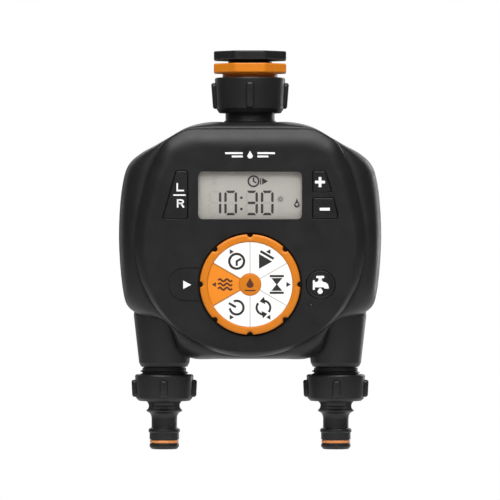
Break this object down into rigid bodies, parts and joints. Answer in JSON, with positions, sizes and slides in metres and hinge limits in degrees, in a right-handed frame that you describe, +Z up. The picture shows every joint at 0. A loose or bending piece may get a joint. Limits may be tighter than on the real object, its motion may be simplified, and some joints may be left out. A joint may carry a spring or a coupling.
{
  "type": "drip irrigation timer",
  "caption": "Battery water timer for a garden tap: threaded inlet nut, shield-shaped front with display, keys and dial, and two valved outlets with quick-connect noses.",
  "frame": {"origin": "centre of the inlet mouth, on the top face of the tap reducer", "axes": "+Z up along the inlet, towards the tap; the front face looks along -Y; +X is to the right seen from the front"},
  "size_m": [0.1448, 0.0788, 0.22],
  "materials": {
    "housing_plastic": "satin charcoal mould texture",
    "fitting_plastic": "satin black glass-filled nylon",
    "key_plastic": "satin black",
    "orange_plastic": "semi-gloss orange",
    "print_label": "printed film, white with one orange sector",
    "clear_window": "clear polycarbonate",
    "lcd_glass": "reflective twisted-nematic display",
    "frame_plastic": "white ABS",
    "circuit_board": "green solder mask",
    "black_rubber": "matt",
    "orange_rubber": "satin",
    "silicone": "matt",
    "led_lens": "clear red",
    "steel": "zinc plated",
    "copper_coil": "enamelled copper wire",
    "cell_jacket": "plain shrink film",
    "valve_plastic": "glass-filled nylon",
    "filter_plastic": "natural polypropylene",
    "lead_insulation": "soft PVC"
  },
  "bodies": {
    "housing": {"adaptor_washer": "black_rubber", "batteries": "cell_jacket", "battery_contacts": "steel", "battery_lead": "lead_insulation", "battery_tray": "valve_plastic", "cover_gasket": "black_rubber", "dial_switch": "valve_plastic", "door_hinge_pin": "steel", "front_cover": "housing_plastic", "front_cover_screws": "steel", "housing_gasket": "black_rubber", "inlet_filter": "filter_plastic", "inlet_spigot": "fitting_plastic", "keypad_mat": "silicone", "lcd_frame": "frame_plastic", "lcd_glass": "lcd_glass", "lcd_window": "clear_window", "left_diaphragm": "black_rubber", "left_plunger_spring": "steel", "left_solenoid": "copper_coil", "left_solenoid_lead": "lead_insulation", "left_valve_bonnet": "valve_plastic", "main_housing": "housing_plastic", "main_pcb": "circuit_board", "nut_retaining_ring": "steel", "pcb_screws": "steel", "rear_cover": "housing_plastic", "rear_cover_screws": "steel", "reducer_washer": "black_rubber", "right_diaphragm": "black_rubber", "right_plunger_spring": "steel", "right_solenoid": "copper_coil", "right_solenoid_lead": "lead_insulation", "right_valve_bonnet": "valve_plastic", "spigot_oring": "black_rubber", "status_led": "led_lens", "tap_adaptor": "orange_plastic", "tap_reducer": "fitting_plastic", "valve_bonnet_screws": "steel", "valve_manifold": "valve_plastic"},
    "inlet_nut": {"inlet_swivel_nut": "fitting_plastic"},
    "dial": {"dial_knob": "orange_plastic", "dial_label": "print_label", "dial_shaft": "valve_plastic", "dial_spring_clip": "steel"},
    "key_left_right": {"button_left_right": "key_plastic"},
    "key_plus": {"button_plus": "key_plastic"},
    "key_minus": {"button_minus": "key_plastic"},
    "key_manual": {"button_manual": "key_plastic"},
    "door": {"battery_door": "housing_plastic"},
    "left_valve": {"left_plunger": "steel"},
    "right_valve": {"right_plunger": "steel"},
    "left_connector": {"left_tap_connector": "fitting_plastic", "left_outlet_oring": "orange_rubber", "left_outlet_washer": "black_rubber"},
    "right_connector": {"right_tap_connector": "fitting_plastic", "right_outlet_oring": "orange_rubber", "right_outlet_washer": "black_rubber"}
  },
  "joints": [
    {"name": "inlet_nut_turn", "type": "hinge", "parent": "housing", "child": "inlet_nut", "pos_m": [0, 0, -0.024], "axis": [0, 0, 1], "continuous": true},
    {"name": "dial_turn", "type": "hinge", "parent": "housing", "child": "dial", "pos_m": [0, -0.036, -0.1286], "axis": [0, 1, 0], "continuous": true},
    {"name": "key_left_right_press", "type": "slide", "parent": "housing", "child": "key_left_right", "axis": [0, 1, 0], "range_m": [0, 0.0009], "stiffness_N_per_m": 900},
    {"name": "key_plus_press", "type": "slide", "parent": "housing", "child": "key_plus", "axis": [0, 1, 0], "range_m": [0, 0.0009], "stiffness_N_per_m": 900},
    {"name": "key_minus_press", "type": "slide", "parent": "housing", "child": "key_minus", "axis": [0, 1, 0], "range_m": [0, 0.0009], "stiffness_N_per_m": 900},
    {"name": "key_manual_press", "type": "slide", "parent": "housing", "child": "key_manual", "axis": [0, 1, 0], "range_m": [0, 0.0009], "stiffness_N_per_m": 900},
    {"name": "left_valve_lift", "type": "slide", "parent": "housing", "child": "left_valve", "axis": [0, 0, 1], "range_m": [0, 0.002], "stiffness_N_per_m": 250, "springref_m": -0.002, "deforming": ["left_plunger_spring"]},
    {"name": "left_connector_turn", "type": "hinge", "parent": "housing", "child": "left_connector", "pos_m": [-0.0475, 0, -0.19], "axis": [0, 0, 1], "continuous": true},
    {"name": "right_valve_lift", "type": "slide", "parent": "housing", "child": "right_valve", "axis": [0, 0, 1], "range_m": [0, 0.002], "stiffness_N_per_m": 250, "springref_m": -0.002, "deforming": ["right_plunger_spring"]},
    {"name": "right_connector_turn", "type": "hinge", "parent": "housing", "child": "right_connector", "pos_m": [0.0475, 0, -0.19], "axis": [0, 0, 1], "continuous": true},
    {"name": "battery_door_open", "type": "hinge", "parent": "housing", "child": "door", "pos_m": [0, 0.0376, -0.1576], "axis": [-1, 0, 0], "range_deg": [0, 110]}
  ]
}
